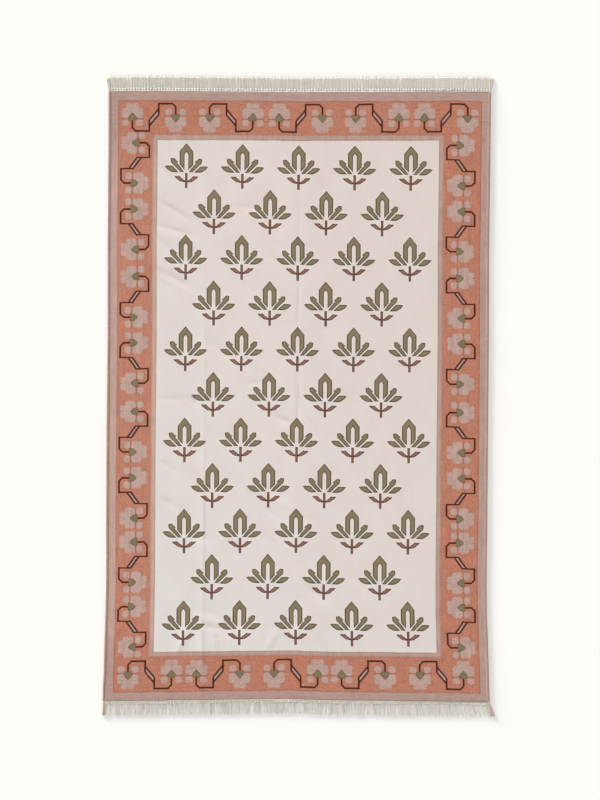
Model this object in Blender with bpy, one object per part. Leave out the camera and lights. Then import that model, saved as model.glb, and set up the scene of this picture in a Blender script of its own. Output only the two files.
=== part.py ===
"""Flat-woven cotton dhurrie rug with corded sides and a knotted fringe at both ends.

Metres, +Z up. The rug lies face up on the surface z = 0, its width along X, its warp and
its length along Y. Every piece is laid out in the flat cloth's own measures, u across the
width and v along the length, and plan() then gives the place where the uneven rug has it.
"""
import math
from collections import namedtuple

import bmesh
import bpy
import numpy as np

# Driving dimensions of the flat rug
WIDTH = 1.525            # side to side, with both corded edges
LENGTH = 2.430           # first pick to last pick, without the fringe
THICKNESS = 0.004        # weft-faced cotton weave
GAP = 0.0003             # between pieces that touch

CORD_WIDTH = 0.009       # overcast side cord
CORD_HEIGHT = 0.005
CORD_SIDES = 8

HEADING = 0.005          # ivory band between the cloth and the knots
HEADING_HEIGHT = 0.0036
FRINGE = 0.058           # cloth edge to strand tips
LOCKS = 136              # knotted locks at each end
KNOT = 0.011             # length of a knot
KNOT_WIDTH = 0.0080
WAIST_WIDTH = 0.0058     # where the knot lets the strands go
TIP_WIDTH = 0.0086
KNOT_HEIGHT = 0.0042
TIP_HEIGHT = 0.0024

# The sides of the lying rug, from one end of its length to the other
Side = namedtuple("Side", "v left right")
SIDES = [
    Side(-1.215, -0.779, 0.769),
    Side(-1.168, -0.778, 0.767),
    Side(-0.992, -0.773, 0.762),
    Side(-0.864, -0.769, 0.757),
    Side(-0.728, -0.766, 0.756),
    Side(-0.464, -0.766, 0.759),
    Side(-0.112, -0.764, 0.762),
    Side(0.240, -0.760, 0.765),
    Side(0.592, -0.760, 0.766),
    Side(0.944, -0.757, 0.771),
    Side(1.215, -0.756, 0.774),
]

# The two fringed edges, from side to side
End = namedtuple("End", "u bottom top")
ENDS = [
    End(-0.7625, -1.218, 1.216),
    End(-0.630, -1.218, 1.218),
    End(-0.374, -1.214, 1.216),
    End(-0.182, -1.212, 1.215),
    End(-0.054, -1.210, 1.213),
    End(0.010, -1.211, 1.212),
    End(0.138, -1.216, 1.214),
    End(0.394, -1.218, 1.214),
    End(0.586, -1.220, 1.215),
    End(0.7625, -1.222, 1.212),
]

# The rug was stored folded in four both ways, which left three marks across each way.
# A ridge stands up, a trough is a line that stays down between two low swells.
Fold = namedtuple("Fold", "runs at ridge reach start middle end")
FOLDS = [
    Fold("along", -0.380, False, 0.040, 0.0024, 0.0008, 0.0010),
    Fold("along", 0.004, True, 0.018, 0.0034, 0.0014, 0.0016),
    Fold("along", 0.391, False, 0.040, 0.0020, 0.0009, 0.0012),
    Fold("across", -0.608, True, 0.020, 0.0012, 0.0016, 0.0014),
    Fold("across", -0.008, False, 0.044, 0.0016, 0.0022, 0.0016),
    Fold("across", 0.626, True, 0.022, 0.0018, 0.0016, 0.0010),
]

# How far a corner's strands splay outward at their tips
Corner = namedtuple("Corner", "side end splay")
CORNERS = [
    Corner(-1, 1, 0.007),
    Corner(1, 1, 0.008),
    Corner(-1, -1, 0.001),
    Corner(1, -1, 0.016),
]
SPLAY_FADE = 0.070
SWAY = {1: 0.0016, -1: 0.0036}        # how far the locks lean between the corners
SWAY_LENGTH = {1: 0.210, -1: 0.165}
RAGGED = {1: 0.0020, -1: 0.0040}      # unevenness of the cut tips


def column(table, name):
    """One named column of a table as an array."""
    return np.array([getattr(row, name) for row in table])


def plan(u, v):
    """Where a point of the flat rug lies on the floor."""
    left = np.interp(v, column(SIDES, "v"), column(SIDES, "left"))
    right = np.interp(v, column(SIDES, "v"), column(SIDES, "right"))
    bottom = np.interp(u, column(ENDS, "u"), column(ENDS, "bottom"))
    top = np.interp(u, column(ENDS, "u"), column(ENDS, "top"))
    x = left + (right - left) * (u / WIDTH + 0.5)
    y = bottom + (top - bottom) * (v / LENGTH + 0.5)
    return float(x), float(y)


def lift(u, v):
    """Height of the rug's underside over the floor, from its fold marks."""
    height = 0.0
    for fold in FOLDS:
        across, along = (u, v / LENGTH) if fold.runs == "along" else (v, u / WIDTH)
        distance = abs(across - fold.at) / fold.reach
        if distance >= 1.0:
            continue
        rise = np.interp(along, (-0.5, 0.0, 0.5), (fold.start, fold.middle, fold.end))
        wave = math.cos(distance * math.pi / 2) if fold.ridge else math.sin(distance * math.pi)
        height = max(height, float(rise) * wave * wave)
    return height


def fold_lines(runs):
    """Positions at which the mesh needs a line for the folds that run one way."""
    steps = (-1.0, -0.5, 0.0, 0.5, 1.0)
    return [fold.at + step * fold.reach
            for fold in FOLDS if fold.runs == runs for step in steps]


def grid_lines(start, stop, marks, nearest=0.004):
    """The marks between start and stop, with both ends, and none too close to another."""
    lines = [start]
    for mark in sorted(marks):
        if lines[-1] + nearest < mark < stop - nearest:
            lines.append(mark)
    return lines + [stop]


def finish_mesh(mesh_name, bm, material, smooth_angle=40.0):
    """Turn a closed bmesh into an object with outward faces and smooth round parts."""
    bmesh.ops.recalc_face_normals(bm, faces=bm.faces)
    mesh = bpy.data.meshes.new(mesh_name)
    bm.to_mesh(mesh)
    bm.free()
    mesh.materials.append(material)
    mesh.shade_smooth()
    mesh.set_sharp_from_angle(angle=math.radians(smooth_angle))
    made = bpy.data.objects.new(mesh_name, mesh)
    bpy.context.scene.collection.objects.link(made)
    return made


def material(name, colour, roughness):
    """A plain matt yarn colour."""
    made = bpy.data.materials.new(name)
    made.use_nodes = True
    shader = made.node_tree.nodes["Principled BSDF"]
    shader.inputs["Base Color"].default_value = (*colour, 1.0)
    shader.inputs["Roughness"].default_value = roughness
    shader.inputs["Metallic"].default_value = 0.0
    return made


def make_cloth(yarn):
    """The woven cloth: one slab between the side cords, with the fold marks in it."""
    inner = WIDTH / 2 - CORD_WIDTH - GAP
    us = grid_lines(-inner, inner, list(column(ENDS, "u")) + fold_lines("along"))
    vs = grid_lines(-LENGTH / 2, LENGTH / 2, list(column(SIDES, "v")) + fold_lines("across"))
    bm = bmesh.new()
    layers = []
    for height in (0.0, THICKNESS):
        layers.append([[bm.verts.new((*plan(u, v), lift(u, v) + height)) for u in us]
                       for v in vs])
    for layer in layers:
        for row, above in zip(layer, layer[1:]):
            for i in range(len(us) - 1):
                bm.faces.new((row[i], row[i + 1], above[i + 1], above[i]))
    under, face = layers
    last = len(us) - 1
    rims = [[row[0] for row in under], [row[last] for row in under], under[0], under[-1]]
    tops = [[row[0] for row in face], [row[last] for row in face], face[0], face[-1]]
    for low, high in zip(rims, tops):
        for i in range(len(low) - 1):
            bm.faces.new((low[i], low[i + 1], high[i + 1], high[i]))
    return finish_mesh("cloth", bm, yarn)


def corner_splay(side, end):
    """Tip splay of one corner from the table."""
    return next(row.splay for row in CORNERS if row.side == side and row.end == end)


def make_cord(name, side, yarn):
    """An overcast side cord, whose own strands run out as a tail past both ends."""
    centre = side * (WIDTH / 2 - CORD_WIDTH / 2)
    half = LENGTH / 2
    middle = [(v, 0.0, 1.0, 1.0) for v in
              grid_lines(-half, half, list(column(SIDES, "v")) + fold_lines("across"))]
    # Past the cloth: distance out, share of the splay, width and height against the cord
    tail = [(KNOT * 0.5, 0.05, 1.08, 1.0), (KNOT + 0.006, 0.22, 0.92, 0.8),
            (FRINGE * 0.65, 0.65, 1.15, 0.62), (FRINGE, 1.0, 1.25, 0.5)]
    start = [(-half - out, share, w, h) for out, share, w, h in reversed(tail)]
    stop = [(half + out, share, w, h) for out, share, w, h in tail]
    bm = bmesh.new()
    rings = []
    for v, share, wide, high in start + middle + stop:
        splay = corner_splay(side, 1 if v > 0 else -1) * share
        # The inner side keeps its line, so a wide tail grows outward
        shift = side * (splay + (wide - 1.0) * CORD_WIDTH / 2)
        base = lift(centre, v) if abs(v) <= half else 0.0
        ring = []
        for k in range(CORD_SIDES):
            turn = math.tau * (k + 0.5) / CORD_SIDES
            reach = 0.5 / math.cos(math.pi / CORD_SIDES)
            x, y = plan(centre + wide * CORD_WIDTH * reach * math.cos(turn), v)
            z = base + high * CORD_HEIGHT * (0.5 + reach * math.sin(turn))
            ring.append(bm.verts.new((x + shift, y, max(z, 0.0))))
        rings.append(ring)
    for ring, after in zip(rings, rings[1:]):
        for k in range(CORD_SIDES):
            n = (k + 1) % CORD_SIDES
            bm.faces.new((ring[k], ring[n], after[n], after[k]))
    bm.faces.new(rings[0])
    bm.faces.new(rings[-1])
    return finish_mesh(name, bm, yarn)


def lock_lean(u, end):
    """Sideways lean of a lock's tip: a slow sway that gives way to the corners' splay."""
    from_left = math.exp(-(WIDTH / 2 + u) / SPLAY_FADE)
    from_right = math.exp(-(WIDTH / 2 - u) / SPLAY_FADE)
    sway = SWAY[end] * math.sin(math.tau * u / SWAY_LENGTH[end] + 0.8)
    sway += 0.4 * SWAY[end] * math.sin(math.tau * u / (SWAY_LENGTH[end] * 0.63))
    spread = corner_splay(1, end) * from_right - corner_splay(-1, end) * from_left
    return sway * (1.0 - from_left) * (1.0 - from_right) + spread


def make_fringe(name, end, yarn):
    """A narrow heading with the knotted locks, which lie level on the floor."""
    near = end * (LENGTH / 2 + GAP)
    knots = near + end * HEADING
    inner = WIDTH / 2 - CORD_WIDTH - GAP
    pitch = 2 * inner / LOCKS
    edge = end * LENGTH / 2

    def section(u, v, width, bottom, height):
        """Four corners of a lock across its length."""
        x, y = plan(u, v)
        return [bm.verts.new((x + dx, y, z)) for dx, z in (
            (-width / 2, bottom), (width / 2, bottom),
            (width / 2, bottom + height), (-width / 2, bottom + height))]

    bm = bmesh.new()
    us = [-inner]
    for i in range(LOCKS):
        centre = -inner + (i + 0.5) * pitch
        us += [centre - KNOT_WIDTH / 2, centre + KNOT_WIDTH / 2]
    us.append(inner)
    columns = []
    for u in us:
        z = lift(u, edge)
        columns.append([bm.verts.new((*plan(u, v), z + h)) for v, h in (
            (near, 0.0), (knots, 0.0), (knots, KNOT_HEIGHT), (near, HEADING_HEIGHT))])
    bm.faces.new(columns[0])
    bm.faces.new(columns[-1])
    for i, (a, b) in enumerate(zip(columns, columns[1:])):
        for k in (0, 2, 3):
            n = (k + 1) % 4
            bm.faces.new((a[k], a[n], b[n], b[k]))
        if i % 2 == 0:
            bm.faces.new((a[1], a[2], b[2], b[1]))
            continue
        # A lock grows out of this face: the knot's waist, then the spread tip
        centre = (us[i] + us[i + 1]) / 2
        ragged = RAGGED[end] * (0.6 * math.sin(i * 1.7) + 0.4 * math.sin(i * 0.31))
        reach = FRINGE + ragged
        lean = lock_lean(centre, end)
        waist_v = edge + end * (HEADING + KNOT)
        waist = section(centre, waist_v, WAIST_WIDTH, 0.0, KNOT_HEIGHT * 0.8)
        tip = section(centre, edge + end * reach, TIP_WIDTH, 0.0, TIP_HEIGHT)
        for corner in waist:
            corner.co.x += lean * 0.2
        for corner in tip:
            corner.co.x += lean
        root = [a[1], b[1], b[2], a[2]]
        for ring, after in ((root, waist), (waist, tip)):
            for k in range(4):
                n = (k + 1) % 4
                bm.faces.new((ring[k], ring[n], after[n], after[k]))
        bm.faces.new(tip)
    return finish_mesh(name, bm, yarn)


def centre_on_floor(objects):
    """Put the origin under the middle of the whole rug's box."""
    corners = np.array([v.co[:] for made in objects for v in made.data.vertices])
    middle = (corners.min(axis=0) + corners.max(axis=0)) / 2
    for made in objects:
        for vertex in made.data.vertices:
            vertex.co.x -= middle[0]
            vertex.co.y -= middle[1]


def main():
    """Make the rug's five pieces."""
    for old in list(bpy.data.objects):
        bpy.data.objects.remove(old, do_unlink=True)
    ground = material("ivory_ground_cotton", (0.66, 0.60, 0.54), 0.92)
    rose = material("rose_edge_cotton", (0.48, 0.31, 0.26), 0.92)
    warp = material("ivory_warp_yarn", (0.62, 0.56, 0.48), 0.95)
    pieces = [
        make_cloth(ground),
        make_cord("side_cord_left", -1, rose),
        make_cord("side_cord_right", 1, rose),
        make_fringe("fringe_top", 1, warp),
        make_fringe("fringe_bottom", -1, warp),
    ]
    centre_on_floor(pieces)


main()
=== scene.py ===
# %% [markdown]
# # A dhurrie rug laid flat, seen from straight above
# A dhurrie is a thin cotton rug without pile: its coloured weft covers the warp, and the warp's
# ends are knotted into a fringe. The solids give the rug its size and its main forms. This lesson
# dresses them: a cloth with soft creases and a woven design, corded sides, and a fringe of separate
# yarns. Lengths are in metres, and in millimetres where the woven design is drawn.

from math import pi, radians, sqrt, tau

import bpy
import numpy as np
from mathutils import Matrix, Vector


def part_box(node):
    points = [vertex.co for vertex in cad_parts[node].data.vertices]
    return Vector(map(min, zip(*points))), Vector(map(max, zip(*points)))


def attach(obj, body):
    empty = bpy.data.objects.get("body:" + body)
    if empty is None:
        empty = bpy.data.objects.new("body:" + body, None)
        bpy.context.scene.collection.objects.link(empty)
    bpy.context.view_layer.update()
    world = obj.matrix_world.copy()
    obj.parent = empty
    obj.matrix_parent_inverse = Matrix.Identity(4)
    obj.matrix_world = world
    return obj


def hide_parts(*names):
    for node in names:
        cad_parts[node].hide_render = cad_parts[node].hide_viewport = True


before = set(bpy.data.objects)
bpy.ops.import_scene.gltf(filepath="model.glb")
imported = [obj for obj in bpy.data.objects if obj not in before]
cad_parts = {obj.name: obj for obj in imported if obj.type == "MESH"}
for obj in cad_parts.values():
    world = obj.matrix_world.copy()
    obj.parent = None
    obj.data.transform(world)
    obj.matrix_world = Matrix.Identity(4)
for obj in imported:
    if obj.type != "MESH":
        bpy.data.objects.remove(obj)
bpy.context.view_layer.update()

# %% [markdown]
# ## Sizes
# A rug is woven flat, so its sizes are flat ones: `u` runs across the width and `v` along the
# length. They could be read from the solids one by one, but the cloth, the cords and the fringe
# share them, so they stand here once.

# %% Sizes of the rug
WIDTH, LENGTH, THICKNESS, GAP = 1.525, 2.430, 0.004, 0.0003
CORD_WIDTH, CORD_TOP, OVERCAST = 0.009, 0.0044, 0.0045
HEADING, HEADING_HEIGHT, FRINGE, LOCKS = 0.005, 0.0040, 0.058, 136
KNOT, KNOT_WIDTH, KNOT_HEIGHT = 0.011, 0.0104, 0.0036
INNER = WIDTH / 2 - CORD_WIDTH - GAP
print("cloth between the cords:", round(2 * INNER, 4), "by", LENGTH)

# %% [markdown]
# ## How the rug lies
# A real rug isn't a true rectangle: its sides bow by a few millimetres. Folding has left broad
# pressed ridges in it, and it lies with soft wrinkles. A cloth simulation would put creases where
# they fall by chance, so the larger ones have their own rows in a table, and small ripples are
# drawn between two limits. The outline is that of the solids, and the pressed folds lie flatter.

# %% Tables of the outline and the creases
# v, left edge, right edge
SIDES = (
    (-1.215, -0.779, 0.769), (-1.168, -0.778, 0.767), (-0.992, -0.773, 0.762), (-0.864, -0.769, 0.757),
    (-0.728, -0.766, 0.756), (-0.464, -0.766, 0.759), (-0.112, -0.764, 0.762), (0.240, -0.760, 0.765),
    (0.592, -0.760, 0.766), (0.944, -0.757, 0.771), (1.215, -0.756, 0.774),
)
# u, bottom edge, top edge
ENDS = (
    (-0.7625, -1.218, 1.216), (-0.630, -1.218, 1.218), (-0.374, -1.214, 1.216), (-0.182, -1.212, 1.215),
    (-0.054, -1.210, 1.213), (0.010, -1.211, 1.212), (0.138, -1.216, 1.214), (0.394, -1.218, 1.214),
    (0.586, -1.220, 1.215), (0.7625, -1.222, 1.212),
)
# runs, at, form, reach, then its height at the start, middle and end
FOLDS = (
    ("along", -0.376, "ridge", 0.020, 0.0006, 0.0001, 0.0001),
    ("along", 0.391, "trough", 0.026, 0.0002, 0.0001, 0.0001),
    ("across", -0.608, "ridge", 0.020, 0.0001, 0.0001, 0.0001),
    ("across", 0.626, "ridge", 0.022, 0.0001, 0.0001, 0.0001),
)
# Soft ridges and, where the height is negative, soft grooves in the face:
# centre u, v, heading in degrees, half length, reach, height
WRINKLES = (
    (-0.486, 0.734, -31, 0.095, 0.011, -0.00134), (-0.490, 0.658, -17, 0.090, 0.01, -0.00105),
    (-0.494, 0.468, -29, 0.085, 0.012, -0.00139), (-0.520, 0.894, -42, 0.050, 0.011, -0.00084),
    (-0.206, 0.752, -3, 0.075, 0.01, -0.00067), (-0.066, 0.520, -38, 0.070, 0.01, -0.00113),
    (-0.190, 0.330, -30, 0.060, 0.012, -0.0004), (0.060, 0.330, -40, 0.060, 0.012, -0.00072),
    (-0.485, -0.012, 0, 0.100, 0.008, -0.00058), (-0.410, -0.026, -55, 0.026, 0.011, -0.0015),
    (-0.165, 0.050, -5, 0.032, 0.009, -0.0008), (0.026, -0.016, -62, 0.040, 0.01, -0.00144),
    (0.215, 0.002, -12, 0.036, 0.008, -0.0006), (-0.160, -0.100, -42, 0.080, 0.012, -0.00072),
    (-0.060, -0.200, -42, 0.090, 0.012, -0.00072), (-0.170, -0.410, -42, 0.080, 0.01, -0.00108),
    (-0.090, -0.435, -42, 0.090, 0.01, -0.00108), (-0.010, -0.420, -42, 0.070, 0.01, -0.00108),
    (0.058, -0.650, -42, 0.055, 0.011, -0.00108), (-0.010, -0.800, -44, 0.070, 0.012, -0.00108),
    (-0.335, -0.925, -15, 0.040, 0.012, -0.00098), (-0.454, -0.980, 68, 0.055, 0.014, 0.00109),
    (-0.325, -0.990, 112, 0.045, 0.014, 0.00078), (-0.100, -0.985, 62, 0.060, 0.014, 0.00078),
    (0.080, -0.975, 116, 0.070, 0.014, 0.00078), (0.240, -0.960, 70, 0.060, 0.015, 0.00047),
    (-0.690, 0.560, -80, 0.120, 0.012, 0.00031), (-0.690, -0.640, 84, 0.160, 0.014, 0.0006),
    (0.004, 0.450, 90, 0.420, 0.008, -0.0005), (0.004, -0.060, 90, 0.100, 0.008, -0.0005),
    (-0.376, 0.300, 90, 0.300, 0.0065, 0.0003), (-0.376, -0.450, 90, 0.420, 0.0065, 0.0003),
)
# Small ripples all over the left and the middle: lowest and highest value of each column above
RIPPLES, RIPPLE_SEED = 60, 31
RIPPLE_LOW = (-0.560, -0.900, -50, 0.030, 0.0085, -0.0018)
RIPPLE_HIGH = (0.150, 0.700, -26, 0.075, 0.0115, 0.0003)
ripples = np.random.default_rng(RIPPLE_SEED).uniform(RIPPLE_LOW, RIPPLE_HIGH, (RIPPLES, 6))
CREASES = WRINKLES + tuple(ripples.tolist())
# The cloth's slight unevenness: a wave's height and length, then the bend of its crests, that
# bend's own length and its phase
WAVE_ACROSS, WAVE_ALONG = (0.00008, 0.190, 2.1, 0.610, 0.0), (0.00007, 0.150, 1.7, 0.430, 1.0)
print(len(FOLDS), "pressed folds and", len(CREASES), "wrinkles")

# %% [markdown]
# ## From the flat rug to the floor
# The cloth, the cords and the fringe all have to lie along the same outline and over the same
# creases. Each could be bent by a modifier of its own. Two functions of `u` and `v`, for the place
# and for the height, keep them together without any seam.


# %% Outline and heights
def column(x, table, number):
    """The value of a table's column at x, on straight lines between its rows."""
    rows = np.array(table)
    return np.interp(x, rows[:, 0], rows[:, number])


def outline(u, v):
    """Where the flat point (u, v) lies, before the whole rug is centred."""
    left, right = column(v, SIDES, 1), column(v, SIDES, 2)
    bottom, top = column(u, ENDS, 1), column(u, ENDS, 2)
    return left + (right - left) * (u / WIDTH + 0.5), bottom + (top - bottom) * (v / LENGTH + 0.5)


def lift(u, v):
    """Height of the underside over the floor where the pressed folds lift the rug."""
    height = np.zeros(np.broadcast(u, v).shape)
    for runs, at, form, reach, start, middle, end in FOLDS:
        across, along = (u, v / LENGTH) if runs == "along" else (v, u / WIDTH)
        distance = np.minimum(np.abs(across - at) / reach, 1.0)
        wave = np.cos(distance * pi / 2) if form == "ridge" else np.sin(distance * pi)
        height = np.maximum(height, np.interp(along, (-0.5, 0, 0.5), (start, middle, end)) * wave**2)
    return height


def soft_wave(x, y, height, length, bend, bend_length, phase):
    """A wave along x whose crests bend to and fro along y."""
    return height * (1 + np.sin(tau * x / length + bend * np.sin(tau * y / bend_length + phase)))


def wrinkle(u, v):
    """Height that the wrinkles and the cloth's slight unevenness add to lift."""
    height = soft_wave(u, v, *WAVE_ACROSS) + soft_wave(v, u, *WAVE_ALONG)
    for centre_u, centre_v, heading, half_length, reach, top in CREASES:
        cosine, sine = np.cos(radians(heading)), np.sin(radians(heading))
        along = ((u - centre_u) * cosine + (v - centre_v) * sine) / half_length
        across = ((v - centre_v) * cosine - (u - centre_u) * sine) / reach
        height = height + top * np.exp(-(along**2) - across**2)
    return height


EDGE_SAMPLES = 400
edge_v = np.linspace(-LENGTH / 2, LENGTH / 2, EDGE_SAMPLES)
edge_u = np.linspace(-INNER, INNER, EDGE_SAMPLES)
low_x = outline(np.full(EDGE_SAMPLES, -INNER), edge_v)[0].min()
low_y = outline(edge_u, np.full(EDGE_SAMPLES, -LENGTH / 2))[1].min()
SHIFT = (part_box("cloth")[0][0] - low_x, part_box("cloth")[0][1] - low_y)


def plan(u, v):
    """Where the flat point (u, v) lies on the floor: the outline's low corner on the solid's."""
    x, y = outline(u, v)
    return x + SHIFT[0], y + SHIFT[1]


print("the outline's shift:", [round(float(s), 4) for s in SHIFT])

# %% [markdown]
# ## Camera
# The photograph looks straight down on the rug. A camera could be turned until the edges agree,
# but here one pixel is 4 mm everywhere, so its height follows from the lens.

# %% Camera
MM_PER_PIXEL, PICTURE_HEIGHT, LENS, SENSOR = 4.0, 800, 85.0, 36.0
PICTURE_MIDDLE = (0.010, -0.016)
camera_data = bpy.data.cameras.new("camera")
camera_data.lens, camera_data.sensor_width, camera_data.sensor_fit = LENS, SENSOR, "AUTO"
camera_data.dof.use_dof = False
camera = bpy.data.objects.new("camera", camera_data)
bpy.context.scene.collection.objects.link(camera)
distance = PICTURE_HEIGHT * MM_PER_PIXEL / 1000 * LENS / SENSOR
camera.location = (PICTURE_MIDDLE[0] + SHIFT[0], PICTURE_MIDDLE[1] + SHIFT[1], distance)
bpy.context.scene.camera = camera
print("camera", round(distance, 3), "m above the floor")

# %% [markdown]
# ## Light and floor
# The studio is bright and soft, yet every wrinkle shows and a narrow shadow lies on the right and
# at the bottom. One soft lamp would give the brightness without the wrinkles. So a low sun from
# the upper left grazes the cloth, a weaker one from the lower right fills its shadow, and a broad
# key and the world's light do the rest.

# %% Light and floor
WORLD_LIGHT, SUN_COLOUR, FLOOR_HALF = 0.435, (1.0, 0.993, 0.985), 9
# name, energy, softness in degrees, place
SUNS = (
    ("key", 1.26, 30, (-1.0, 3.7, 3.4)), ("low_light", 12.4, 8, (-3.4, 4.9, 0.456)),
    ("far_light", 2.60, 12, (2.2, -5.6, 0.65)),
)
scene = bpy.context.scene
scene.view_settings.view_transform = "Standard"
world = bpy.data.worlds.new("studio")
world.use_nodes = True
world.node_tree.nodes["Background"].inputs["Color"].default_value = (1.0, 1.0, 1.0, 1)
world.node_tree.nodes["Background"].inputs["Strength"].default_value = WORLD_LIGHT
scene.world = world
for name, energy, softness, place in SUNS:
    lamp = bpy.data.lights.new(name, "SUN")
    lamp.energy, lamp.angle, lamp.color = energy, radians(softness), SUN_COLOUR
    sun = bpy.data.objects.new(name, lamp)
    sun.location = place
    sun.rotation_euler = sun.location.to_track_quat("Z", "Y").to_euler()
    scene.collection.objects.link(sun)

floor_mesh = bpy.data.meshes.new("floor")
floor_corners = [(x * FLOOR_HALF, y * FLOOR_HALF, 0) for x, y in ((-1, -1), (1, -1), (1, 1), (-1, 1))]
floor_mesh.from_pydata(floor_corners, [], [(0, 1, 2, 3)])
floor = bpy.data.objects.new("floor", floor_mesh)
scene.collection.objects.link(floor)
print(len(SUNS), "suns and the floor made")

# %% [markdown]
# ## Shader maths as Python expressions
# The design is a long formula, and a formula drawn node by node is hard to read. `Wire` wraps the
# output of a node, and its operators add Math nodes, so that a shader reads as the formula that it
# computes. Colours go through Mix and all other nodes through `node`.


# %% The socket class
def forward(operation):
    """The method behind an operator: a Math node of self and other."""
    return lambda self, other: self.math(operation, self, other)


def reflected(operation):
    """The same where self stands on the right, as in 1 - mask."""
    return lambda self, other: self.math(operation, other, self)


class Wire:
    """A node's output that Python's operators work on."""

    def __init__(self, tree, socket):
        self.tree, self.socket = tree, socket

    def node(self, kind, settings=None, inputs=None, output=0):
        """Any node: its settings first, then its inputs, each a Wire or a plain value."""
        made = self.tree.nodes.new(kind)
        for name, value in (settings or {}).items():
            setattr(made, name, value)
        for name, value in (inputs or {}).items():
            if isinstance(value, Wire):
                self.tree.links.new(value.socket, made.inputs[name])
            else:
                made.inputs[name].default_value = value
        return Wire(self.tree, made.outputs[output])

    def math(self, operation, *values):
        return self.node("ShaderNodeMath", {"operation": operation}, dict(enumerate(values)))

    def vector(self, operation, *values, output=0):
        return self.node("ShaderNodeVectorMath", {"operation": operation}, dict(enumerate(values)), output)

    def mix(self, first, second):
        """This number is the share of the second colour over the first."""
        inputs = {0: self, 6: first, 7: second}
        return self.node("ShaderNodeMix", {"data_type": "RGBA"}, inputs, 2)

    def shaded(self, shade):
        """This colour times a number."""
        return self.node("ShaderNodeVectorMath", {"operation": "SCALE"}, {0: self, "Scale": shade})

    def noise(self, scale, detail=2.0):
        """A soft random number about 0.5, from this vector."""
        inputs = {"Vector": self, "Scale": scale, "Detail": detail}
        return self.node("ShaderNodeTexNoise", {"noise_dimensions": "3D"}, inputs)

    def clamp(self):
        return self.node("ShaderNodeClamp", None, {0: self})

    def floor(self):
        return self.math("FLOOR", self)

    def sine(self):
        return self.math("SINE", self)

    def __neg__(self):
        return self.math("MULTIPLY", self, -1.0)

    def __abs__(self):
        return self.math("ABSOLUTE", self)

    __add__, __radd__ = forward("ADD"), reflected("ADD")
    __sub__, __rsub__ = forward("SUBTRACT"), reflected("SUBTRACT")
    __mul__, __rmul__ = forward("MULTIPLY"), reflected("MULTIPLY")
    __truediv__, __mod__ = forward("DIVIDE"), forward("FLOORED_MODULO")
    __lt__, __gt__ = forward("LESS_THAN"), forward("GREATER_THAN")


def largest(first, *others):
    for other in others:
        first = first.math("MAXIMUM", first, other)
    return first


def smallest(first, *others):
    for other in others:
        first = first.math("MINIMUM", first, other)
    return first


def choose(which, first, second):
    """first where which is 0, second where it is 1; numbers or Wires."""
    return first + which * (second - first)


def point(x, y, z=0.0):
    return x.node("ShaderNodeCombineXYZ", None, {0: x, 1: y, 2: z})


print("shader maths ready")

# %% [markdown]
# ## Matt materials
# Cotton has next to no gloss, and neither has the floor. Every material here is a Principled shader
# with a high roughness and a weak specular level. The yarn's fine relief is a Bump node, because
# single fibres are too small for a mesh.

# %% Colours and materials
PAINT_SHARE, SPECULAR, CLOTH_ROUGHNESS, FLOOR_ROUGHNESS, BUMP_STRENGTH = 0.94, 0.15, 0.92, 0.90, 0.6


def linear(red, green, blue):
    """A colour of the photograph, 0 to 255, as the paint that gives it under this light."""
    values = [x / 255 for x in (red, green, blue)]
    return tuple(PAINT_SHARE * ((x + 0.055) / 1.055) ** 2.4 for x in values) + (1,)


def new_material(name, roughness=CLOTH_ROUGHNESS):
    """A matt material and its shader."""
    material = bpy.data.materials.new(name)
    material.use_nodes = True
    shader = material.node_tree.nodes["Principled BSDF"]
    shader.inputs["Roughness"].default_value = roughness
    shader.inputs["Specular IOR Level"].default_value = SPECULAR
    return material, shader


def map_of(material, name):
    """The two coordinates of a UV map as Wires."""
    tree = material.node_tree
    node = tree.nodes.new("ShaderNodeUVMap")
    node.uv_map = name
    start = Wire(tree, node.outputs[0])
    apart = start.node("ShaderNodeSeparateXYZ", None, {0: start})
    return apart, Wire(tree, apart.socket.node.outputs[1])


def finish_material(shader, colour, height, depth):
    """Link the colour, and a height through Bump to the normal."""
    inputs = {"Height": height, "Distance": depth, "Strength": BUMP_STRENGTH}
    bump = height.node("ShaderNodeBump", None, inputs)
    colour.tree.links.new(colour.socket, shader.inputs["Base Color"])
    colour.tree.links.new(bump.socket, shader.inputs["Normal"])


FLOOR_PAINT = linear(252, 251, 247)
floor_material, floor_shader = new_material("pale_floor", FLOOR_ROUGHNESS)
floor_shader.inputs["Base Color"].default_value = FLOOR_PAINT
floor_mesh.materials.append(floor_material)
print("floor paint:", [round(x, 3) for x in FLOOR_PAINT[:3]])

# %% [markdown]
# ## The woven design
# The weft covers the warp, so the design is stepped: a column of the weave is 2.5 mm wide and a
# pick, which is one passage of the weft, is 1.5 mm high. A picture of the design could be laid over
# the cloth, but it would blur from close by. Formulas stay sharp, and they follow the weave's steps.
# From the outside in, the bands are rose, orange with the flower border, rose, and the ivory field.

# %% Colours and measures of the design
COLUMN, PICK = 2.5, 1.5
OUTER_ROSE, INNER_ROSE = linear(178, 147, 137), linear(183, 151, 139)
ORANGE, ORANGE_LIGHT = linear(177, 111, 86), linear(191, 131, 109)
FLOWER, FLOWER_LIGHT, VINE = linear(176, 146, 136), linear(191, 163, 152), linear(80, 36, 27)
HEART_EDGE, HEART = linear(80, 68, 44), linear(127, 114, 87)
IVORY_PINK, IVORY_GREY = linear(221, 208, 200), linear(221, 216, 211)
OLIVE_EDGE, OLIVE = linear(64, 54, 35), linear(129, 118, 92)
BRICK_EDGE, BRICK = linear(80, 43, 38), linear(143, 102, 88)
# left, right, bottom, top of the orange band, the inner rose band and the ivory field
BANDS = (
    (-723.5, 727.5, -1182.5, 1180.0), (-584.0, 577.5, -1041.0, 1044.0),
    (-564.0, 557.5, -1021.0, 1022.0),
)
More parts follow.
